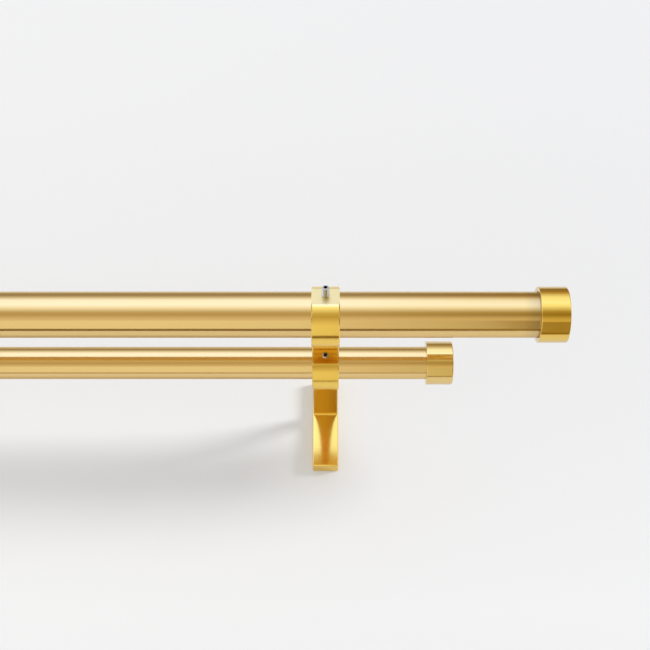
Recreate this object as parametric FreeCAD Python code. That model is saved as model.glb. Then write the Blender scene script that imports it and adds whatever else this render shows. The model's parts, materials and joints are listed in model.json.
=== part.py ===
import FreeCAD, Part
import math
import os

os.makedirs("parts", exist_ok=True)

V = FreeCAD.Vector

# Driving dimensions, in millimetres. X along the poles, wall at y = 0, room towards -Y, Z up.

# Poles
FRONT_POLE_DIA = 25.4
REAR_POLE_DIA = 19.05
POLE_WALL = 1.0
FRONT_OUT = 141.5
REAR_OUT = 85.3
AXIS_UP = 1.2
BRACKET_SPACING = 640.0

# Rings on the arm
RING_WIDTH = 15.4
BORE_GAP = 0.2
FRONT_RING_R = 16.7
FRONT_RING_DROP = 1.45
REAR_RING_R = 14.1
REAR_RING_DROP = 2.1
RING_EDGE = 0.5
FRONT_SEAT_WIDE = 12.4
REAR_SEAT_WIDE = 6.4

# Arm
ARM_WIDTH = 15.0
ARM_THICK = 4.0
ARM_UNDER_UP = 3.4
ARM_EDGE_ROUND = 0.3
BLEND_R = 2.2
ROOT_R = 1.2
ROOT_REACH = 1.2
TENON_WIDTH = 8.0
TENON_THICK = 3.2
TENON_GAP = 0.1
TENON_HEAD = 1.3
TENON_HEAD_OVER = 1.2
TENON_HEAD_EDGE = 0.5
BUTT_GAP = 0.03

# Base
BASE_WIDTH = 16.0
BASE_HEIGHT = 62.6
BASE_DEPTH = 9.0
CROWN_R = 67.0
BASE_EDGE_ROUND = 0.6
BASE_RIM_EDGE = 0.5
POCKET_WIDTH = 10.6
POCKET_HEIGHT = 51.0
POCKET_DEPTH = 6.2

# Wall plate
PLATE_THICK = 3.2
PLATE_SIDE_GAP = 0.2
PLATE_FOOT_GAP = 0.3
PLATE_TOP_GAP = 1.3
PLATE_BEVEL = 1.6
HOOK_GAP = 0.25
HOOK_ROOT = 0.5
HOLE_SPACING = 36.0
HOLE_R = 2.25
SINK_R = 4.2

# Grub screws
SCREW_DIA = 4.0
SCREW_GAP = 0.1
SCREW_TIP_GAP = 0.05
SOCKET_FLATS = 2.0
SOCKET_DEEP = 2.2
FRONT_SCREW_LONG = 8.0
FRONT_SCREW_UP = 15.0
REAR_SCREW_LONG = 5.0
REAR_SCREW_UP = -9.0
BASE_SCREW_DIA = 3.0
BASE_SCREW_SUNK = 0.3
BASE_SCREW_OUT = 2.4
BASE_SCREW_TIP_GAP = 0.45
BASE_SCREW_TIP = 0.9
BASE_SOCKET_FLATS = 1.5
BASE_SOCKET_DEEP = 1.8

# End caps and their plugs
FRONT_CAP_DIA = 31.0
FRONT_CAP_LONG = 16.0
FRONT_OVERHANG = 132.4
REAR_CAP_DIA = 25.6
REAR_CAP_LONG = 15.5
REAR_OVERHANG = 74.4
CAP_END_WALL = 4.0
CAP_BORE_GAP = 0.15
CAP_END_EDGE = 0.7
PLUG_FLANGE = 1.5
PLUG_FLANGE_IN = 0.3
PLUG_LONG = 14.0
PLUG_LEAD = 1.5
PLUG_WEB = 1.6
PLUG_GAP = 0.1
SEAT_GAP = 0.05

# How far a cutting tool runs past the face that it opens
OVERCUT = 1.0

XB = BRACKET_SPACING / 2
ARM_LOW = AXIS_UP + ARM_UNDER_UP
ARM_TOP = ARM_LOW + ARM_THICK
PLATE_TOP = POCKET_HEIGHT / 2 - PLATE_TOP_GAP
PLATE_FOOT = -POCKET_HEIGHT / 2 + PLATE_FOOT_GAP


# Helpers


def rod(radius, start, direction, length):
    """A cylinder from a start point along a direction."""
    return Part.makeCylinder(radius, length, start, direction)


def block(x0, x1, y0, y1, z0, z1):
    """A box between two corners."""
    return Part.makeBox(x1 - x0, y1 - y0, z1 - z0, V(x0, y0, z0))


def across(edges, x0, x1):
    """A closed outline of edges in the plane x = x0, drawn out to x1."""
    return Part.Face(Part.Wire(edges)).extrude(V(x1 - x0, 0, 0))


def polygon_across(points, x0, x1):
    """A polygon given as (y, z) pairs, drawn out from x0 to x1."""
    corners = [V(x0, y, z) for y, z in points]
    return Part.Face(Part.makePolygon(corners + corners[:1])).extrude(V(x1 - x0, 0, 0))


def picked(shape, test):
    """The edges of a shape whose middle point passes a test."""
    found = []
    for e in shape.Edges:
        p = e.valueAt((e.FirstParameter + e.LastParameter) / 2)
        if test(e, p):
            found.append(e)
    return found


def hexagon(flats, start, direction, length):
    """A hexagonal bar across flats, from a start point along a direction."""
    r = flats / math.sqrt(3)
    corners = [V(r * math.cos(k * math.pi / 3), r * math.sin(k * math.pi / 3), 0) for k in range(6)]
    bar = Part.Face(Part.makePolygon(corners + corners[:1])).extrude(V(0, 0, length))
    bar.Placement = FreeCAD.Placement(start, FreeCAD.Rotation(V(0, 0, 1), direction))
    return bar


def grub_screw(dia, long, tip, out, flats, deep, cone):
    """A headless screw from its tip along out, with a hex socket. A cone of 0 leaves the tip flat."""
    shank = rod(dia / 2, V(0, 0, 0), V(0, 0, 1), long)
    if cone:
        shank = shank.makeChamfer(cone, picked(shank, lambda e, p: p.z < long / 2 and e.Closed))
    shank = shank.cut(hexagon(flats, V(0, 0, long - deep), V(0, 0, 1), deep + OVERCUT))
    shank.Placement = FreeCAD.Placement(tip, FreeCAD.Rotation(V(0, 0, 1), out))
    return shank


def blend(yc, zc, ring_r, z_line, r, side, below, x0, x1):
    """Fills the corner between a ring and the arm's flat face with a concave arc tangent to both."""
    s = -1 if below else 1
    zf = z_line + s * r
    yf = yc + side * math.sqrt((ring_r + r) ** 2 - (zf - zc) ** 2)
    k = ring_r / (ring_r + r)
    y2 = yc + k * (yf - yc)
    z2 = zc + k * (zf - zc)
    a1 = math.atan2(z_line - zf, 0)
    a2 = math.atan2(z2 - zf, y2 - yf)
    turn = (a2 - a1 + math.pi) % (2 * math.pi) - math.pi
    am = a1 + turn / 2
    p1 = V(x0, yf, z_line)
    pm = V(x0, yf + r * math.cos(am), zf + r * math.sin(am))
    p2 = V(x0, y2, z2)
    centre = V(x0, yc, zc)
    up = V(x0, yc, z_line - s)
    over = V(x0, yf, z_line - s)
    edges = [Part.Arc(p1, pm, p2).toShape()]
    for a, b in ((p2, centre), (centre, up), (up, over), (over, p1)):
        edges.append(Part.makeLine(a, b))
    return across(edges, x0, x1)


def root_fill(y_face, z_line, r, below, x0, x1):
    """Fills the corner between the arm's flat face and the base's front with a concave arc."""
    s = -1 if below else 1
    p1 = V(x0, y_face - r, z_line)
    pm = V(x0, y_face - r * (1 - math.sqrt(0.5)), z_line + s * r * (1 - math.sqrt(0.5)))
    p2 = V(x0, y_face, z_line + s * r)
    p3 = V(x0, y_face + ROOT_REACH, z_line + s * r)
    p4 = V(x0, y_face + ROOT_REACH, z_line - s)
    p5 = V(x0, y_face - r, z_line - s)
    edges = [Part.Arc(p1, pm, p2).toShape()]
    for a, b in ((p2, p3), (p3, p4), (p4, p5), (p5, p1)):
        edges.append(Part.makeLine(a, b))
    return across(edges, x0, x1)


def crowned(depth, width, height, radius):
    """An upright block on the wall whose front is part of a large upright cylinder."""
    body = block(-width / 2, width / 2, -depth - OVERCUT, 0, -height / 2, height / 2)
    crown = Part.makeCylinder(radius, height + 2 * OVERCUT, V(0, radius - depth, -height / 2 - OVERCUT))
    return body.common(crown)


# Base: a hollow block with a crowned front, a slot for the tenon and a hook at the foot of its pocket


def make_base():
    body = crowned(BASE_DEPTH, BASE_WIDTH, BASE_HEIGHT, CROWN_R)
    upright = picked(body, lambda e, p: p.y < -BASE_DEPTH / 2 and abs(p.z) < BASE_HEIGHT / 4)
    body = body.makeFillet(BASE_EDGE_ROUND, upright)
    rims = picked(body, lambda e, p: p.y < -BASE_RIM_EDGE and abs(p.z) > BASE_HEIGHT / 4)
    body = body.makeChamfer(BASE_RIM_EDGE, rims)
    pw = POCKET_WIDTH / 2
    ph = POCKET_HEIGHT / 2
    body = body.cut(block(-pw, pw, -POCKET_DEPTH, OVERCUT, -ph, ph))
    lip = PLATE_FOOT + PLATE_BEVEL - HOOK_GAP
    root = -ph - HOOK_ROOT
    hook = [(0, root), (0, lip), (-PLATE_THICK, -ph), (-PLATE_THICK, root)]
    body = body.fuse(polygon_across(hook, -pw - HOOK_ROOT, pw + HOOK_ROOT))
    tw = TENON_WIDTH / 2 + TENON_GAP
    mid = (ARM_LOW + ARM_TOP) / 2
    th = TENON_THICK / 2 + TENON_GAP
    slot = block(-tw, tw, -BASE_DEPTH - OVERCUT, -POCKET_DEPTH + OVERCUT, mid - th, mid + th)
    start = V(0, -BASE_SCREW_OUT, ph - OVERCUT)
    way = rod(BASE_SCREW_DIA / 2 + SCREW_GAP, start, V(0, 0, 1), BASE_HEIGHT / 2 - ph + 2 * OVERCUT)
    return body.cut(slot).cut(way).removeSplitter()


# Wall plate: flat steel with bevelled ends and two countersunk holes


def make_plate():
    w = POCKET_WIDTH / 2 - PLATE_SIDE_GAP
    t = PLATE_THICK
    low = PLATE_FOOT + PLATE_BEVEL
    high = PLATE_TOP - PLATE_BEVEL
    plate = polygon_across([(0, low), (-t, PLATE_FOOT), (-t, PLATE_TOP), (0, high)], -w, w)
    for z in (-HOLE_SPACING / 2, HOLE_SPACING / 2):
        mouth = V(0, -t - OVERCUT, z)
        plate = plate.cut(rod(HOLE_R, mouth, V(0, 1, 0), t + 2 * OVERCUT))
        deep = SINK_R - HOLE_R + OVERCUT
        plate = plate.cut(Part.makeCone(SINK_R + OVERCUT, HOLE_R, deep, mouth, V(0, 1, 0)))
    return plate


# Arm: a flat bar with two rings, a flat on each for its screw, and a tenon riveted inside the base


def make_ring(y, z, radius):
    ring = rod(radius, V(-RING_WIDTH / 2, y, z), V(1, 0, 0), RING_WIDTH)
    rims = picked(ring, lambda e, p: e.Closed and abs(abs(p.x) - RING_WIDTH / 2) < RING_EDGE)
    return ring.makeChamfer(RING_EDGE, rims)


def pole_bore(y, dia):
    r = dia / 2 + BORE_GAP
    return rod(r, V(-RING_WIDTH, y, AXIS_UP), V(1, 0, 0), 2 * RING_WIDTH)


def screw_way(y, up):
    a = math.radians(up)
    return V(0, y, AXIS_UP), V(0, -math.cos(a), math.sin(a))


def screw_seat(y, drop, ring_r, up, wide):
    """What is cut off a ring to leave a flat of a given width, square to its screw."""
    out = screw_way(y, up)[1]
    along = V(0, -out.z, out.y)
    centre = V(0, y, AXIS_UP - drop)
    flat = math.sqrt(ring_r ** 2 - (wide / 2) ** 2)
    reach = along * (wide / 2 + OVERCUT)
    inner = centre + out * flat
    outer = centre + out * (ring_r + OVERCUT)
    corners = [inner - reach, inner + reach, outer + reach, outer - reach]
    return polygon_across([(c.y, c.z) for c in corners], -RING_WIDTH, RING_WIDTH)


def make_arm():
    x1 = ARM_WIDTH / 2
    bar = block(-x1, x1, -FRONT_OUT, -BASE_DEPTH + ROOT_REACH, ARM_LOW, ARM_TOP)
    long_edges = picked(bar, lambda e, p: abs(abs(p.x) - x1) < ARM_EDGE_ROUND and e.Length > FRONT_OUT / 2)
    arm = bar.makeFillet(ARM_EDGE_ROUND, long_edges)
    zf = AXIS_UP - FRONT_RING_DROP
    zr = AXIS_UP - REAR_RING_DROP
    xs = x1 - ARM_EDGE_ROUND
    adds = [make_ring(-FRONT_OUT, zf, FRONT_RING_R), make_ring(-REAR_OUT, zr, REAR_RING_R)]
    for below, line in ((True, ARM_LOW), (False, ARM_TOP)):
        adds.append(blend(-FRONT_OUT, zf, FRONT_RING_R, line, BLEND_R, 1, below, -xs, xs))
        adds.append(blend(-REAR_OUT, zr, REAR_RING_R, line, BLEND_R, 1, below, -xs, xs))
        adds.append(blend(-REAR_OUT, zr, REAR_RING_R, line, BLEND_R, -1, below, -xs, xs))
        adds.append(root_fill(-BASE_DEPTH, line, ROOT_R, below, -xs, xs))
    for piece in adds:
        arm = arm.fuse(piece)
    seat = Part.makeCylinder(CROWN_R + BUTT_GAP, BASE_HEIGHT, V(0, CROWN_R - BASE_DEPTH, -BASE_HEIGHT / 2))
    arm = arm.cut(seat)
    mid = (ARM_LOW + ARM_TOP) / 2
    tw = TENON_WIDTH / 2
    th = TENON_THICK / 2
    arm = arm.fuse(block(-tw, tw, -BASE_DEPTH - ROOT_REACH, -POCKET_DEPTH + TENON_HEAD, mid - th, mid + th))
    hw = tw + TENON_HEAD_OVER
    hh = th + TENON_HEAD_OVER
    y0 = -POCKET_DEPTH + BUTT_GAP
    y1 = -POCKET_DEPTH + TENON_HEAD
    head = block(-hw, hw, y0, y1, mid - hh, mid + hh)
    rim = picked(head, lambda e, p: p.y > y1 - TENON_HEAD_EDGE)
    arm = arm.fuse(head.makeChamfer(TENON_HEAD_EDGE, rim))
    arm = arm.cut(pole_bore(-FRONT_OUT, FRONT_POLE_DIA))
    arm = arm.cut(pole_bore(-REAR_OUT, REAR_POLE_DIA))
    arm = arm.cut(screw_seat(-FRONT_OUT, FRONT_RING_DROP, FRONT_RING_R, FRONT_SCREW_UP, FRONT_SEAT_WIDE))
    arm = arm.cut(screw_seat(-REAR_OUT, REAR_RING_DROP, REAR_RING_R, REAR_SCREW_UP, REAR_SEAT_WIDE))
    for y, up in ((-FRONT_OUT, FRONT_SCREW_UP), (-REAR_OUT, REAR_SCREW_UP)):
        start, out = screw_way(y, up)
        arm = arm.cut(rod(SCREW_DIA / 2 + SCREW_GAP, start, out, 2 * FRONT_RING_R))
    return arm.removeSplitter()


# Screws


def pole_screw(y, pole_dia, up, long):
    start, out = screw_way(y, up)
    tip = start + out * (pole_dia / 2 + SCREW_TIP_GAP)
    return grub_screw(SCREW_DIA, long, tip, out, SOCKET_FLATS, SOCKET_DEEP, 0)


def base_screw():
    touch = PLATE_TOP - (PLATE_THICK - BASE_SCREW_OUT) * PLATE_BEVEL / PLATE_THICK
    tip = V(0, -BASE_SCREW_OUT, touch + BASE_SCREW_TIP_GAP)
    long = BASE_HEIGHT / 2 - BASE_SCREW_SUNK - tip.z
    out = V(0, 0, 1)
    return grub_screw(BASE_SCREW_DIA, long, tip, out, BASE_SOCKET_FLATS, BASE_SOCKET_DEEP, BASE_SCREW_TIP)


# End caps, seen from the pole's middle: x runs outwards to the closed end


def make_cap(dia, long, pole_dia, end_x, y):
    cap = rod(dia / 2, V(end_x - long, y, AXIS_UP), V(1, 0, 0), long)
    end_edge = picked(cap, lambda e, p: e.Closed and p.x > end_x - long / 2)
    cap = cap.makeChamfer(CAP_END_EDGE, end_edge)
    mouth = V(end_x - long - OVERCUT, y, AXIS_UP)
    return cap.cut(rod(pole_dia / 2 + CAP_BORE_GAP, mouth, V(1, 0, 0), long - CAP_END_WALL + OVERCUT))


def make_plug(pole_dia, end_x, y):
    """A flange on the cap's floor with two crossed webs, bevelled at their tips, inside the tube."""
    foot = end_x - CAP_END_WALL - SEAT_GAP - PLUG_FLANGE
    tip = foot - PLUG_LONG
    inner = pole_dia / 2 - POLE_WALL - PLUG_GAP
    tall = math.sqrt(inner ** 2 - (PLUG_WEB / 2) ** 2)
    half = [(foot, tall), (tip + PLUG_LEAD, tall), (tip, tall - PLUG_LEAD)]
    outline = half + [(x, -z) for x, z in reversed(half)]
    corners = [V(x, y - PLUG_WEB / 2, AXIS_UP + z) for x, z in outline]
    plug = rod(pole_dia / 2 - PLUG_FLANGE_IN, V(foot, y, AXIS_UP), V(1, 0, 0), PLUG_FLANGE)
    for turn in (0, 90):
        web = Part.Face(Part.makePolygon(corners + corners[:1])).extrude(V(0, PLUG_WEB, 0))
        web.rotate(V(0, y, AXIS_UP), V(1, 0, 0), turn)
        plug = plug.fuse(web)
    return plug.removeSplitter()


def make_pole(dia, end_x, y):
    half = end_x - CAP_END_WALL - 2 * SEAT_GAP - PLUG_FLANGE
    tube = rod(dia / 2, V(-half, y, AXIS_UP), V(1, 0, 0), 2 * half)
    start = V(-half - OVERCUT, y, AXIS_UP)
    return tube.cut(rod(dia / 2 - POLE_WALL, start, V(1, 0, 0), 2 * (half + OVERCUT)))


# Assembly

FRONT_END = XB + FRONT_OVERHANG
REAR_END = XB + REAR_OVERHANG

at_bracket = {
    "base": make_base(),
    "wall_plate": make_plate(),
    "bracket_arm": make_arm(),
    "front_grub_screw": pole_screw(-FRONT_OUT, FRONT_POLE_DIA, FRONT_SCREW_UP, FRONT_SCREW_LONG),
    "rear_grub_screw": pole_screw(-REAR_OUT, REAR_POLE_DIA, REAR_SCREW_UP, REAR_SCREW_LONG),
    "base_grub_screw": base_screw(),
}
at_end = {
    "front_end_cap": make_cap(FRONT_CAP_DIA, FRONT_CAP_LONG, FRONT_POLE_DIA, FRONT_END, -FRONT_OUT),
    "rear_end_cap": make_cap(REAR_CAP_DIA, REAR_CAP_LONG, REAR_POLE_DIA, REAR_END, -REAR_OUT),
    "front_cap_plug": make_plug(FRONT_POLE_DIA, FRONT_END, -FRONT_OUT),
    "rear_cap_plug": make_plug(REAR_POLE_DIA, REAR_END, -REAR_OUT),
}

nodes = {
    "front_pole": make_pole(FRONT_POLE_DIA, FRONT_END, -FRONT_OUT),
    "rear_pole": make_pole(REAR_POLE_DIA, REAR_END, -REAR_OUT),
}
for name, shape in at_bracket.items():
    right = shape.copy()
    right.translate(V(XB, 0, 0))
    nodes[name + "_right"] = right
    nodes[name + "_left"] = right.mirror(V(0, 0, 0), V(1, 0, 0))
for name, shape in at_end.items():
    nodes[name + "_right"] = shape
    nodes[name + "_left"] = shape.mirror(V(0, 0, 0), V(1, 0, 0))

for name, shape in nodes.items():
    if len(shape.Solids) != 1 or not shape.isValid():
        raise ValueError(name + " is not one valid solid")
    shape.Solids[0].exportStep("parts/" + name + ".step")
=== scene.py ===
"""The looks of a double curtain pole: satin tubes, polished caps, gold brackets and steel grub screws."""

import json
import math

import bmesh
import bpy
import numpy as np
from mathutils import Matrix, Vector


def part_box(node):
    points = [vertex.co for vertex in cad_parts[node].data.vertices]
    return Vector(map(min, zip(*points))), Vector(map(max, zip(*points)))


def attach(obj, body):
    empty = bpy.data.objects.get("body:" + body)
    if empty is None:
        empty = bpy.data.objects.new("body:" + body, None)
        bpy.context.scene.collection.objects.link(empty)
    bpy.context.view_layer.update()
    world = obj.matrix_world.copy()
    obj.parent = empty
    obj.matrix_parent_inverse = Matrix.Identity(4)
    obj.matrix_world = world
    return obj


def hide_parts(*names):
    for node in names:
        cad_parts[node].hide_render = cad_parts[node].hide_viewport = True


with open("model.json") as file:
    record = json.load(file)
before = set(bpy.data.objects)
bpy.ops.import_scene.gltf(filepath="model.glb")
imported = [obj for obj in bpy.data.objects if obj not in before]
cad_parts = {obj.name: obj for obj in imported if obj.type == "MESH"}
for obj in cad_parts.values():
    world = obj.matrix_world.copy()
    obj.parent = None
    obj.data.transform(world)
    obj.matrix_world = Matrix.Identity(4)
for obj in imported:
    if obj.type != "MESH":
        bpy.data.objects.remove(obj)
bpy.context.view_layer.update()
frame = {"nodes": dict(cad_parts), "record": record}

# Places in metres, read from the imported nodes: X along the poles, room towards -Y, Z up


def middle(node):
    """The centre of a node's box."""
    low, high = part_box(node)
    return np.add(low, high) / 2


def reach(node):
    """The size of a node's box along X, Y and Z."""
    low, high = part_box(node)
    return np.subtract(high, low)


def screw_way(up):
    """The direction straight out of the wall, turned up by an angle."""
    return np.array((0, -math.cos(up), math.sin(up)))


BRACKET_X = middle("base_right")[0]
FRONT_Y, AXIS_Z = middle("front_pole")[1:]
REAR_Y = middle("rear_pole")[1]
CAP_MOUTH_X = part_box("front_end_cap_right")[0][0]

# Turned pieces: the tube's wall, the cap's end wall and bore, and the rounding of their edges
TUBE_WALL = 0.0010
TUBE_EDGE = 0.00020
CAP_END_WALL = 0.0040
CAP_BORE_GAP = 0.00015
CAP_END_EDGE = 0.00070
CAP_RIM_EDGE = 0.00045
ARC_STEPS = 6
AROUND = 240
SHARP_TURN = math.radians(19)

# The ring screws: angle above the wall's normal, length, radius, and the gap between tip and tube
FRONT_SCREW_UP = math.radians(15)
FRONT_SCREW_LONG = 0.0080
REAR_SCREW_UP = math.radians(-9)
REAR_SCREW_LONG = 0.0050
SCREW_RADIUS = 0.0020
SCREW_TIP_GAP = 0.00005

# Their thread: its end runs are in pitches, and its wave rises past the crest, which is cut flat
THREAD_PITCH = 0.0007
THREAD_DEEP = 0.00030
THREAD_ROWS = 12
THREAD_LEAD = 0.5
THREAD_RUNOUT = 0.35
CREST_CUT = 1.25

# Their ends: tip and head as shares of the thread's root, the hex socket, and its mouth as a share of the hex
TIP_SHARE = 0.62
HEAD_SHARE = 0.90
SOCKET_FLATS = 0.0020
SOCKET_DEEP = 0.0022
SOCKET_POINT = 0.0004
MOUTH_SHARE = 1.04
MOUTH_DEEP = 0.0001

# The map whose second direction is 1 in a socket and 0 elsewhere on a ring screw, for the socket's painted
# shade
SOCKET_SHADE_MAP = "marks"

# The cast bracket's rings and bores as (axis, centre, radius), its flat faces and the base's crown
FRONT_RING_RADIUS, FRONT_RING_DROP = 0.01670, 0.00145
REAR_RING_RADIUS, REAR_RING_DROP = 0.01410, 0.00210
BORE_GAP = 0.00020
RINGS = [
    (0, (0, FRONT_Y, AXIS_Z - FRONT_RING_DROP), FRONT_RING_RADIUS),
    (0, (0, REAR_Y, AXIS_Z - REAR_RING_DROP), REAR_RING_RADIUS),
    (0, (0, FRONT_Y, AXIS_Z), reach("front_pole")[2] / 2 + BORE_GAP),
    (0, (0, REAR_Y, AXIS_Z), reach("rear_pole")[2] / 2 + BORE_GAP),
]
SQUARE = [(1, 0, 0), (0, 1, 0), (0, 0, 1)]
SCREW_WAYS = [screw_way(FRONT_SCREW_UP), screw_way(REAR_SCREW_UP)]
CROWN_RADIUS = 0.067
BASE_DEEP = 0.009

# Shading of the castings: a sharp edge's turn, how close a corner is to a flat or a round, and the weld's gap
SHARP_COPY = math.radians(12.5)
FLAT_TURN = math.radians(1)
ROUND_TURN = math.radians(8)
ROUND_GAP = 0.00005
MERGE_GAP = 1e-7

# The flat on the front ring, as its distance from the pole's axis along the screw, and the fade beside it
FRONT_FLAT_OUT = 0.01509
FLAT_FADE = 0.0007

# Painted shade: the front tube darkens over a short length before its cap's mouth, and fully just inside it
CAP_SHADE_LONG, CAP_SHADE_INSIDE = 0.0089, 0.0011
CAP_SHADE_START, CAP_SHADE_END = CAP_MOUTH_X - CAP_SHADE_LONG, CAP_MOUTH_X + CAP_SHADE_INSIDE

# How tubes and caps dim towards their outline
EDGE_TINT = (0.76, 0.70, 0.60, 1)


# Shader expressions

# A Mix node's factor, its two colours and its mixed colour, by the numbers of their sockets
MIX_FACTOR, MIX_FIRST, MIX_SECOND, MIX_RESULT = 0, 6, 7, 2


class Value:
    """A shader socket: arithmetic on it adds the Math nodes of the expression."""

    def __init__(self, finish, socket):
        self.finish = finish
        self.socket = socket

    def math(self, operation, *inputs):
        """One Math node on the inputs given."""
        node = self.finish.node("ShaderNodeMath", {"operation": operation}, dict(enumerate(inputs)))
        return Value(self.finish, node.outputs[0])

    def __add__(self, other):
        return self.math("ADD", self, other)

    def __sub__(self, other):
        return self.math("SUBTRACT", self, other)

    def __rsub__(self, other):
        return self.math("SUBTRACT", other, self)

    def __mul__(self, other):
        return self.math("MULTIPLY", self, other)

    def __truediv__(self, other):
        return self.math("DIVIDE", self, other)

    __radd__ = __add__
    __rmul__ = __mul__

    def size(self):
        """The number without its sign."""
        return self.math("ABSOLUTE", self)

    def clamped(self):
        """The number kept between 0 and 1."""
        return self.math("MINIMUM", self.math("MAXIMUM", self, 0.0), 1.0)

    def step(self, start, end):
        """Rises from 0 at start to 1 at end, in a straight line."""
        return ((self - start) / (end - start)).clamped()

    def either(self, other):
        """The larger of two numbers."""
        return self.math("MAXIMUM", self, other)


class Finish:
    """The node tree of a material or of the world, cleared of its default nodes."""

    def __init__(self, owner):
        owner.use_nodes = True
        self.owner = owner
        self.tree = owner.node_tree
        self.tree.nodes.clear()

    def node(self, kind, settings=None, sockets=None):
        """Adds one node: settings first (a ramp's stops by the name stops), then socket values or links."""
        made = self.tree.nodes.new(kind)
        for name, setting in (settings or {}).items():
            if name == "stops":
                ramp = made.color_ramp.elements
                while len(ramp) < len(setting):
                    ramp.new(0.5)
                for stop, (place, colour) in zip(ramp, setting):
                    stop.position = place
                    stop.color = (*colour, 1)
            else:
                setattr(made, name, setting)
        for name, given in (sockets or {}).items():
            if isinstance(given, Value):
                self.tree.links.new(given.socket, made.inputs[name])
            else:
                made.inputs[name].default_value = given
        return made

    def value(self, kind, output, settings=None, sockets=None):
        """One output of a new node."""
        return Value(self, self.node(kind, settings, sockets).outputs[output])

    def place(self, stretch=(1, 1, 1)):
        """Object coordinates, stretched along each axis."""
        at = self.value("ShaderNodeTexCoord", "Object")
        return self.value("ShaderNodeMapping", "Vector", {}, {"Vector": at, "Scale": stretch})

    def split(self, vector):
        """The X, Y and Z of a vector."""
        parts = self.node("ShaderNodeSeparateXYZ", {}, {"Vector": vector})
        return [Value(self, parts.outputs[axis]) for axis in "XYZ"]

    def noise(self, at, scale, detail=2.0, roughness=0.5):
        """Soft noise from 0 to 1."""
        sockets = {"Vector": at, "Scale": scale, "Detail": detail, "Roughness": roughness}
        return self.value("ShaderNodeTexNoise", "Fac", {}, sockets)

    def ramp(self, amount, stops):
        """A colour by a number from 0 to 1."""
        return self.value("ShaderNodeValToRGB", "Color", {"stops": stops}, {"Fac": amount})

    def blend(self, amount, first, second):
        """A colour between two colours."""
        first, second = (end if isinstance(end, Value) else (*end, 1) for end in (first, second))
        sockets = {MIX_FACTOR: amount, MIX_FIRST: first, MIX_SECOND: second}
        return self.value("ShaderNodeMix", MIX_RESULT, {"data_type": "RGBA"}, sockets)

    def bump(self, height, strength, distance):
        """The surface's direction, tilted by a height."""
        sockets = {"Height": height, "Strength": strength, "Distance": distance}
        return self.value("ShaderNodeBump", "Normal", {}, sockets)

    def join(self, kind, inputs, sockets=None):
        """A node that takes other shaders, each at the number of its input."""
        made = self.node(kind, {}, sockets)
        for slot, shader in inputs.items():
            self.tree.links.new(shader.outputs[0], made.inputs[slot])
        return made

    def surface(self, shader):
        """Ends the tree in a shader's output, and gives back the material or world."""
        kind = "ShaderNodeOutputWorld" if shader.type == "BACKGROUND" else "ShaderNodeOutputMaterial"
        self.join(kind, {"Surface": shader})
        return self.owner

    def principled(self, sockets):
        """Ends the tree in one Principled shader."""
        return self.surface(self.node("ShaderNodeBsdfPrincipled", {}, sockets))


# Finishes: a pattern's stretch is in cells to the metre, and a bump's last number is its height in metres


def satin_brass():
    """Pale drawn brass: die lines, fine turned grooves, slow drift, and painted shade beside the front caps.
    """
    finish = Finish(bpy.data.materials.new("satin_brass_tube"))
    groove = finish.noise(finish.place((2600, 0, 0)), 1.0, 3.0, 0.6)
    drawn = finish.noise(finish.place((5, 1100, 1100)), 1.0, 3.0, 0.6)
    cloud = finish.noise(finish.place((8, 25, 25)), 1.5, 3.0)
    tone = (0.40 * cloud + 0.20 * groove + 0.40 * drawn).clamped()
    clean = finish.blend(tone, (0.735, 0.515, 0.200), (0.865, 0.625, 0.290))
    # Painted shade where the front cap's rim darkens the tube, broken up by the grooves
    beside_cap = finish.split(finish.place())[0].size().step(CAP_SHADE_START, CAP_SHADE_END)
    cap_shade = beside_cap * (0.35 + 0.65 * groove)
    return finish.principled({
        "Base Color": finish.blend(cap_shade, clean, (0.48, 0.375, 0.220)),
        "Metallic": 1.0,
        "Roughness": 0.10 + 0.05 * drawn + 0.04 * groove,
        "Specular Tint": EDGE_TINT,
        "Normal": finish.bump(0.6 * groove + 0.4 * drawn, 0.25, 0.00002),
    })


def polished_brass():
    """Polished brass of the caps under clear gloss: faint haze, slow drift, and a painted paler sheen towards
    the wall.
    """
    finish = Finish(bpy.data.materials.new("polished_brass_cap"))
    haze = finish.noise(finish.place((260, 260, 260)), 1.0, 4.0, 0.6)
    drift = finish.noise(finish.place((35, 35, 35)), 1.0)
    tone = (0.7 * drift + 0.3 * haze).clamped()
    deep = finish.blend(tone, (0.80, 0.510, 0.035), (0.86, 0.570, 0.065))
    # Painted reflection: parts nearer the pale wall are coloured paler, standing in for the wall's mirrored
    # light
    wall_sheen = finish.split(finish.place())[1].step(FRONT_Y, REAR_Y)
    return finish.principled({
        "Base Color": finish.blend(wall_sheen, deep, (0.80, 0.555, 0.160)),
        "Metallic": 1.0,
        "Roughness": 0.06 + 0.05 * haze,
        "Coat Weight": 1.0,
        "Coat Roughness": 0.05,
        "Coat IOR": 1.8,
        "Specular Tint": EDGE_TINT,
        "Normal": finish.bump(haze, 0.02, 0.00004),
    })


def cast_brass():
    """Deep gold cast brass with a faint haze; the flat round the front screw is duller, and paler as a
    painted highlight.
    """
    finish = Finish(bpy.data.materials.new("cast_brass"))
    haze = finish.noise(finish.place((300, 300, 300)), 1.0, 4.0, 0.6)
    drift = finish.noise(finish.place((40, 40, 40)), 1.0)
    tone = (0.7 * drift + 0.3 * haze).clamped()
    gold = finish.blend(tone, (0.865, 0.580, 0.112), (0.915, 0.640, 0.157))
    y, z = finish.split(finish.place())[1:]
    out = math.sin(FRONT_SCREW_UP) * (z - AXIS_Z) - math.cos(FRONT_SCREW_UP) * (y - FRONT_Y)
    # Painted highlight: the flat round the front screw is coloured pale for the bright light it mirrors
    flat_highlight = out.step(FRONT_FLAT_OUT - FLAT_FADE, FRONT_FLAT_OUT)
    return finish.principled({
        "Base Color": finish.blend(flat_highlight, gold, (1.00, 0.835, 0.420)),
        "Metallic": 1.0,
        "Roughness": 0.14 + 0.06 * haze + 0.17 * flat_highlight,
        "Normal": finish.bump(haze, 0.02, 0.00004),
    })


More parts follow.
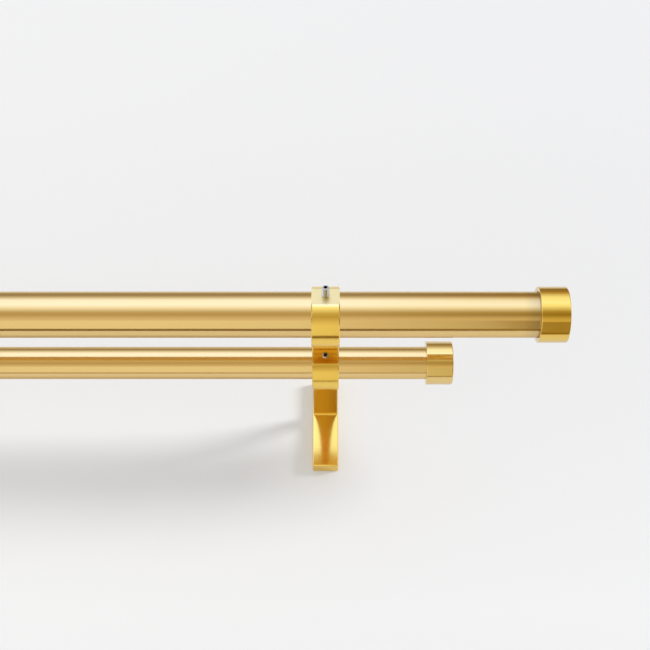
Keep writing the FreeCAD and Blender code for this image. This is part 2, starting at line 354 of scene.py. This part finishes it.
def bright_steel():
    """Bare turned steel with a fine grain, and painted shade, near black, where the map marks the socket."""
    finish = Finish(bpy.data.materials.new("bright_steel"))
    grain = finish.noise(finish.place((2500, 2500, 2500)), 1.0, 3.0)
    bare = finish.blend(grain, (0.46, 0.45, 0.43), (0.68, 0.67, 0.64))
    # Painted shade: the hex socket is coloured near black for the shade inside the recess
    socket = finish.split(finish.value("ShaderNodeUVMap", "UV", {"uv_map": SOCKET_SHADE_MAP}))[1].clamped()
    return finish.principled({
        "Base Color": finish.blend(socket, bare, (0.05, 0.045, 0.04)),
        "Metallic": 1.0,
        "Roughness": 0.14 + 0.10 * grain,
    })


def zinc_steel():
    """Zinc plate: crystals of slightly different greys."""
    finish = Finish(bpy.data.materials.new("zinc_steel"))
    flake = finish.value("ShaderNodeTexVoronoi", "Color", {}, {"Vector": finish.place(), "Scale": 420.0})
    grey = finish.value("ShaderNodeSeparateColor", "Red", {}, {"Color": flake})
    return finish.principled({
        "Base Color": finish.blend(grey, (0.50, 0.52, 0.54), (0.68, 0.69, 0.70)),
        "Metallic": 1.0,
        "Roughness": 0.32 + 0.14 * grey,
    })


def black_nylon():
    """Moulded nylon with a fine sparkle of grain."""
    finish = Finish(bpy.data.materials.new("black_nylon"))
    grain = finish.noise(finish.place((1800, 1800, 1800)), 1.0)
    return finish.principled({
        "Base Color": finish.blend(grain, (0.018, 0.018, 0.020), (0.045, 0.045, 0.048)),
        "Roughness": 0.45 + 0.15 * grain,
        "Normal": finish.bump(grain, 0.2, 0.00003),
    })


finishes = {
    "satin_brass_tube": satin_brass(),
    "polished_brass_cap": polished_brass(),
    "cast_brass": cast_brass(),
    "bright_steel": bright_steel(),
    "zinc_steel": zinc_steel(),
    "black_nylon": black_nylon(),
}
slot_of = {part["node"]: part["material_slot"] for part in frame["record"]["subparts"]}


def dress(piece, slot):
    """Gives a piece the finish of a material slot, and no other."""
    piece.data.materials.clear()
    piece.data.materials.append(finishes[slot])


for node, piece in frame["nodes"].items():
    dress(piece, slot_of[node])


# Making pieces


def weld(mesh, outward):
    """Merges points that meet and, for a new closed shape, turns its faces outwards."""
    shape = bmesh.new()
    shape.from_mesh(mesh)
    bmesh.ops.remove_doubles(shape, verts=shape.verts, dist=MERGE_GAP)
    if outward:
        bmesh.ops.recalc_face_normals(shape, faces=shape.faces)
    shape.to_mesh(mesh)
    shape.free()


def show(name, mesh, node):
    """Makes a mesh the piece that stands for a CAD node."""
    piece = bpy.data.objects.new(name, mesh)
    bpy.context.collection.objects.link(piece)
    dress(piece, slot_of[node])
    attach(piece, "root")
    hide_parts(node)
    return piece


def new_piece(name, mesh, node):
    """Finishes a new closed shape: smooth between its sharp edges, with flats that stay flat."""
    weld(mesh, True)
    mesh.shade_smooth()
    mesh.set_sharp_from_angle(angle=SHARP_TURN)
    even = show(name, mesh, node).modifiers.new("even_shading", "WEIGHTED_NORMAL")
    even.keep_sharp = True


def grid_mesh(name, points, closed, marks=None):
    """Quads through rows of points: each row is a ring, and a closed grid joins its last row to its first.

    Marks, one number for each row, become the second direction of the piece's map.
    """
    rows, around = points.shape[:2]
    here = np.arange(rows * around).reshape(rows, around)
    beside = np.roll(here, -1, axis=1)
    below = np.roll(here, -1, axis=0)
    across = np.roll(beside, -1, axis=0)
    quads = np.stack([here, beside, across, below], axis=-1)
    if not closed:
        quads = quads[:-1]
    mesh = bpy.data.meshes.new(name)
    mesh.from_pydata(points.reshape(-1, 3).tolist(), [], quads.reshape(-1, 4).tolist())
    if marks is not None:
        corners = quads.reshape(-1)
        flat = np.stack([corners % around / around, np.asarray(marks, float)[corners // around]], axis=-1)
        mesh.uv_layers.new(name=SOCKET_SHADE_MAP).data.foreach_set("uv", flat.ravel())
    return mesh


def rounded(corners, closed):
    """A profile whose corners (along, out, radius) become arcs, tangent to the straight runs beside them.

    The arc of radius q at a corner of turn w starts q tan(w / 2) before it and ends as far after it.
    """
    places = np.array([corner[:2] for corner in corners], float)
    line = []
    last = len(corners) - 1
    for k, corner in enumerate(corners):
        radius = corner[2]
        if radius == 0 or (not closed and k in (0, last)):
            line.append(places[k:k + 1])
            continue
        before = places[k - 1] - places[k]
        after = places[(k + 1) % len(corners)] - places[k]
        before /= np.linalg.norm(before)
        after /= np.linalg.norm(after)
        half = math.acos(float(np.clip(before @ after, -1, 1))) / 2
        inward = (before + after) / np.linalg.norm(before + after)
        centre = places[k] + inward * radius / math.sin(half)
        start = places[k] + before * radius / math.tan(half) - centre
        end = places[k] + after * radius / math.tan(half) - centre
        span = math.pi - 2 * half
        t = np.linspace(0, 1, ARC_STEPS + 1)[:, None]
        line.append(centre + (np.sin((1 - t) * span) * start + np.sin(t * span) * end) / math.sin(span))
    return np.concatenate(line)


def turned(name, node, profile, closed):
    """A profile turned about the X direction: (along, out) goes to (along, y + out cos t, z + out sin t)."""
    y, z = middle(node)[1:]
    t = np.linspace(0, 2 * math.pi, AROUND, endpoint=False)
    along = np.repeat(profile[:, :1], AROUND, axis=1)
    out = profile[:, 1:]
    points = np.stack([along, y + out * np.cos(t), z + out * np.sin(t)], axis=-1)
    new_piece(name, grid_mesh(name, points, closed), node)


def tube(name, node):
    """A drawn tube: a closed rectangle of the wall's thickness, turned about the pole's axis."""
    low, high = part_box(node)
    outer = reach(node)[2] / 2
    inner = outer - TUBE_WALL
    corners = [(low[0], inner), (low[0], outer), (high[0], outer), (high[0], inner)]
    turned(name, node, rounded([(*corner, TUBE_EDGE) for corner in corners], True), True)


def end_cap(name, node, pole, side):
    """A turned cap, from the middle of its closed end round its edges to the middle of its bore's floor."""
    low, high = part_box(node)
    end, mouth = (high[0], low[0]) if side > 0 else (low[0], high[0])
    outer = reach(node)[2] / 2
    bore = reach(pole)[2] / 2 + CAP_BORE_GAP
    floor = end - side * CAP_END_WALL
    corners = [
        (end, 0, 0), (end, outer, CAP_END_EDGE), (mouth, outer, CAP_RIM_EDGE),
        (mouth, bore, CAP_RIM_EDGE), (floor, bore, 0), (floor, 0, 0),
    ]
    turned(name, node, rounded(corners, False), False)


def grub_screw(name, node, pole, up, long):
    """A threaded screw with a hex socket, as rings from its tip to the floor of its socket.

    Along the thread the radius follows a triangle wave of height / pitch - turn, which makes it a helix.
    The socket's radius at an angle a from the middle of a flat is half the flats over cos a.
    """
    turn = np.linspace(0, 1, AROUND // 2, endpoint=False)
    t = 2 * math.pi * turn
    from_flat = (t + math.pi / 6) % (math.pi / 3) - math.pi / 6
    socket = SOCKET_FLATS / 2 / np.cos(from_flat)
    even = np.ones_like(t)
    root = SCREW_RADIUS - THREAD_DEEP
    start = THREAD_LEAD * THREAD_PITCH
    stop = long - THREAD_RUNOUT * THREAD_PITCH
    height = np.linspace(start, stop, int(THREAD_ROWS * (stop - start) / THREAD_PITCH))[:, None]
    wave = np.abs(2 * ((height / THREAD_PITCH - turn) % 1) - 1)
    thread = np.minimum(root + CREST_CUT * THREAD_DEEP * wave, SCREW_RADIUS)
    outside = [(0, 0 * even), (0, TIP_SHARE * root * even), (start, root * even)]
    outside += zip(height[:, 0], thread)
    outside += [(stop, root * even), (long, HEAD_SHARE * root * even), (long, MOUTH_SHARE * socket)]
    floor = long - SOCKET_DEEP
    inside = [(long - MOUTH_DEEP, socket), (floor, socket), (floor - SOCKET_POINT, 0 * even)]
    marks = [0] * len(outside) + [1] * len(inside)
    levels, radii = zip(*outside, *inside)
    out = screw_way(up)
    side = np.array((1, 0, 0))
    rise = np.cross(side, out)
    tip = np.array((middle(node)[0], middle(pole)[1], AXIS_Z)) + out * (reach(pole)[2] / 2 + SCREW_TIP_GAP)
    spoke = np.cos(t)[:, None] * side + np.sin(t)[:, None] * rise
    points = tip + np.array(levels)[:, None, None] * out + np.array(radii)[:, :, None] * spoke
    new_piece(name, grid_mesh(name, points, False, marks), node)


def read_rows(rows, what, width, kind=np.float32):
    """One property of a mesh's points, corners or faces, as an array with a row for each."""
    numbers = np.empty(len(rows) * width, kind)
    rows.foreach_get(what, numbers)
    return numbers.reshape(-1, width)


def smooth_copy(name, node, rounds=(), flats=()):
    """The node's own triangles, welded, and shaded as the true faces that they were cut from.

    A corner on a round (axis, centre, radius) takes the direction away from that axis. A corner of a flat
    face takes the face's own direction, and any other the mean of the faces round it up to a sharp edge.
    """
    mesh = frame["nodes"][node].data.copy()
    mesh.name = name
    weld(mesh, False)
    mesh.shade_smooth()
    mesh.set_sharp_from_angle(angle=SHARP_COPY)
    at = read_rows(mesh.vertices, "co", 3)[read_rows(mesh.loops, "vertex_index", 1, np.int32)[:, 0]]
    normals = read_rows(mesh.corner_normals, "vector", 3)
    faces = np.repeat(read_rows(mesh.polygon_normals, "vector", 3), 3, axis=0)
    for flat in flats:
        lies = np.abs(faces @ np.array(flat)) > math.cos(FLAT_TURN)
        normals[lies] = faces[lies]
    for axis, centre, radius in rounds:
        away = at - np.array(centre)
        away[:, axis] = 0
        far = np.linalg.norm(away, axis=1, keepdims=True)
        away = away / np.maximum(far, radius / 2)
        facing = np.sum(faces * away, axis=1, keepdims=True)
        lies = ((np.abs(far - radius) < ROUND_GAP) & (np.abs(facing) > math.cos(ROUND_TURN)))[:, 0]
        normals[lies] = (away * np.sign(facing))[lies]
    mesh.normals_split_custom_set(normals.tolist())
    show(name, mesh, node)


tube("front_tube", "front_pole")
tube("rear_tube", "rear_pole")
for hand, side in (("right", 1), ("left", -1)):
    end_cap(f"front_cap_turned_{hand}", f"front_end_cap_{hand}", "front_pole", side)
    end_cap(f"rear_cap_turned_{hand}", f"rear_end_cap_{hand}", "rear_pole", side)
    smooth_copy(f"gold_arm_{hand}", f"bracket_arm_{hand}", RINGS, [*SQUARE, *SCREW_WAYS])
    crown = (2, (side * BRACKET_X, CROWN_RADIUS - BASE_DEEP, 0), CROWN_RADIUS)
    smooth_copy(f"gold_base_{hand}", f"base_{hand}", [crown], SQUARE)
    smooth_copy(f"base_screw_{hand}", f"base_grub_screw_{hand}")
    grub_screw(f"front_screw_{hand}", f"front_grub_screw_{hand}", "front_pole",
               FRONT_SCREW_UP, FRONT_SCREW_LONG)
    grub_screw(f"rear_screw_{hand}", f"rear_grub_screw_{hand}", "rear_pole",
               REAR_SCREW_UP, REAR_SCREW_LONG)


# Stage: a pale wall, and lower down a floor that shows in the metal alone

STAGE_HALF = 1.1
WALL_Y = 0.0006
WALL_FOOT, WALL_TOP = -0.2765, 0.55
FLOOR_Z = -0.40
FLOOR_FRONT, FLOOR_BACK = -0.375, -0.0415

# The wall's own glow: a level, what is added from one height down to another, and what is lost to the right
WALL_GLOW = 0.272
WALL_LOW_START, WALL_LOW_END = 0.15, -0.12
WALL_LOW_GAIN, WALL_LOWEST_GAIN = 0.03, 0.075
WALL_RIGHT_START, WALL_RIGHT_END = BRACKET_X - 0.30, BRACKET_X + 0.80
WALL_RIGHT_LOSS = 0.24

# The floor's glow, from cream on the left to brown on the right
FLOOR_FADE_START, FLOOR_FADE_END = BRACKET_X - 0.15, BRACKET_X + 0.20
FLOOR_GLOW = [
    (0.00, (0.91, 0.90, 0.77)),
    (0.37, (0.87, 0.85, 0.69)),
    (0.51, (0.78, 0.71, 0.55)),
    (0.69, (0.68, 0.64, 0.45)),
    (0.85, (0.57, 0.50, 0.29)),
    (0.92, (0.40, 0.31, 0.13)),
    (1.00, (0.33, 0.23, 0.04)),
]


def one_sided(finish, face, glow):
    """Ends a stage material: it takes shadows, glows for the eye and for mirrors, and its back is clear."""
    path = finish.node("ShaderNodeLightPath")
    seen = Value(finish, path.outputs["Is Camera Ray"]).either(Value(finish, path.outputs["Is Glossy Ray"]))
    matt = finish.node("ShaderNodeBsdfPrincipled", {}, {
        "Base Color": face, "Roughness": 0.9, "Specular IOR Level": 0.0})
    lamp = finish.node("ShaderNodeEmission", {}, {"Color": glow, "Strength": seen})
    front = finish.join("ShaderNodeAddShader", {0: matt, 1: lamp})
    clear = finish.node("ShaderNodeBsdfTransparent")
    back = finish.value("ShaderNodeNewGeometry", "Backfacing")
    return finish.surface(finish.join("ShaderNodeMixShader", {1: front, 2: clear}, {"Fac": back}))


def wall_paint():
    """Matt white paint with faint specks, whose glow grows downwards and falls off to the right."""
    finish = Finish(bpy.data.materials.new("wall_paint"))
    speck = finish.noise(finish.place((40, 40, 40)), 4.0, 3.0)
    paint = finish.blend(speck, (0.745, 0.750, 0.762), (0.755, 0.760, 0.772))
    x, _, z = finish.split(finish.place())
    low = z.step(WALL_LOW_START, WALL_LOW_END)
    right = x.step(WALL_RIGHT_START, WALL_RIGHT_END)
    glow = WALL_GLOW + WALL_LOW_GAIN * low + WALL_LOWEST_GAIN * low * low - WALL_RIGHT_LOSS * right
    return one_sided(finish, paint, glow)


def floor_paint():
    """Dark matt paint under a glow that turns from cream to brown towards the right."""
    finish = Finish(bpy.data.materials.new("floor_paint"))
    right = finish.split(finish.place())[0].step(FLOOR_FADE_START, FLOOR_FADE_END)
    return one_sided(finish, (0.12, 0.12, 0.12, 1), finish.ramp(right, FLOOR_GLOW))


def sheet(name, first, second, finish):
    """A flat sheet as wide as the stage, between two edges along X that are given by their (y, z)."""
    corners = [(-STAGE_HALF, *first), (STAGE_HALF, *first), (STAGE_HALF, *second), (-STAGE_HALF, *second)]
    mesh = bpy.data.meshes.new(name)
    mesh.from_pydata(corners, [], [(0, 1, 2, 3)])
    mesh.materials.append(finish)
    piece = bpy.data.objects.new(name, mesh)
    bpy.context.collection.objects.link(piece)
    return piece


sheet("wall", (WALL_Y, WALL_FOOT), (WALL_Y, WALL_TOP), wall_paint())
floor = sheet("floor", (FLOOR_FRONT, FLOOR_Z), (FLOOR_BACK, FLOOR_Z), floor_paint())
floor.visible_camera = False


# Light: a soft room by height angle, mostly dimmer to the right, and one wide lamp from the upper right

# The room that the metal mirrors: height angle in degrees, then its colour to the left and to the right
ROOM = [
    (-180, (0.45, 0.45, 0.45), (0.45, 0.45, 0.45)),  # wall
    (-125, (0.20, 0.11, 0.00), (0.34, 0.23, 0.04)),  # shade below the wall's foot
    (-110, (0.20, 0.11, 0.00), (0.34, 0.23, 0.04)),
    (-100, (0.78, 0.71, 0.55), (0.62, 0.52, 0.30)),  # pale floor
    (-66, (0.93, 0.87, 0.76), (0.72, 0.60, 0.34)),
    (-50, (0.83, 0.75, 0.59), (0.71, 0.59, 0.33)),
    (-31, (0.58, 0.49, 0.29), (0.33, 0.24, 0.05)),  # brown band across the room
    (-18, (0.66, 0.57, 0.35), (0.48, 0.38, 0.14)),
    (6, (1.20, 1.32, 1.60), (1.18, 1.26, 1.36)),  # daylight
    (20, (1.34, 1.60, 2.40), (1.26, 1.48, 2.00)),
    (46, (1.32, 1.55, 2.25), (1.12, 1.20, 1.35)),
    (68, (0.72, 0.70, 0.66), (0.58, 0.45, 0.22)),  # above the daylight
    (80, (0.43, 0.39, 0.34), (0.37, 0.25, 0.10)),  # ceiling
    (125, (0.38, 0.34, 0.28), (0.27, 0.20, 0.11)),
    (180, (0.45, 0.45, 0.45), (0.45, 0.45, 0.45)),
]
# Where the left colours turn into the right ones, by the X of a direction of length 1
ROOM_RIGHT_START, ROOM_RIGHT_END = 0.02, 0.20
AMBIENT = (0.57, 0.57, 0.57)
BACKDROP = (0.87, 0.87, 0.87)

# The lamp: its place, aim and size in metres, and its power in watts
KEY_PLACE = (BRACKET_X + 2.15, -1.92, 0.60)
KEY_AIM = (BRACKET_X, -0.05, 0.0)
KEY_WIDE, KEY_HIGH = 1.10, 0.50
KEY_POWER = 44.5


def room_light():
    """Two rooms as bands of height angle, atan2(up, towards the room), blended from left to right.

    Mirrors see the bands, the camera sees one pale grey past the wall, and paint is lit by a plain grey.
    """
    finish = Finish(bpy.context.scene.world)
    x, y, z = finish.split(finish.value("ShaderNodeTexCoord", "Generated"))
    height = 0.5 + 0.5 * z.math("ARCTAN2", z, 0 - y) / math.pi
    left, right = (finish.ramp(height, [((row[0] + 180) / 360, row[n]) for row in ROOM]) for n in (1, 2))
    room = finish.blend(x.step(ROOM_RIGHT_START, ROOM_RIGHT_END), left, right)
    path = finish.node("ShaderNodeLightPath")
    seen, mirrored = (Value(finish, path.outputs[ray]) for ray in ("Is Camera Ray", "Is Glossy Ray"))
    colour = finish.blend(seen, finish.blend(mirrored, AMBIENT, room), BACKDROP)
    finish.surface(finish.node("ShaderNodeBackground", {}, {"Color": colour}))


def soft_lamp(name, place, aim, wide, high, power):
    """A wide lamp aimed at a point, kept out of mirrors."""
    lamp = bpy.data.lights.new(name, "AREA")
    lamp.shape = "RECTANGLE"
    lamp.size = wide
    lamp.size_y = high
    lamp.energy = power
    holder = bpy.data.objects.new(name, lamp)
    holder.location = place
    holder.rotation_euler = (Vector(aim) - Vector(place)).to_track_quat("-Z", "Y").to_euler()
    holder.visible_glossy = False
    bpy.context.collection.objects.link(holder)


if bpy.context.scene.world is None:
    bpy.context.scene.world = bpy.data.worlds.new("room")
room_light()
soft_lamp("key", KEY_PLACE, KEY_AIM, KEY_WIDE, KEY_HIGH, KEY_POWER)


# Camera: below and in front of the right-hand bracket, looking up by thirty degrees

# The picture's side and the focal length in pixels, and the sensor's width in millimetres
PHOTO_SIDE = 650
FOCAL = 1205
SENSOR = 36
TILT = math.radians(30)
CAMERA_PLACE = (BRACKET_X - 0.0003, -0.713, -0.3353)

camera_data = bpy.data.cameras.new("camera")
camera_data.sensor_width = SENSOR
camera_data.lens = SENSOR * FOCAL / PHOTO_SIDE
camera = bpy.data.objects.new("camera", camera_data)
camera.location = CAMERA_PLACE
camera.rotation_euler = (math.pi / 2 + TILT, 0, 0)
bpy.context.collection.objects.link(camera)
bpy.context.scene.camera = camera
bpy.context.scene.view_settings.view_transform = "Standard"
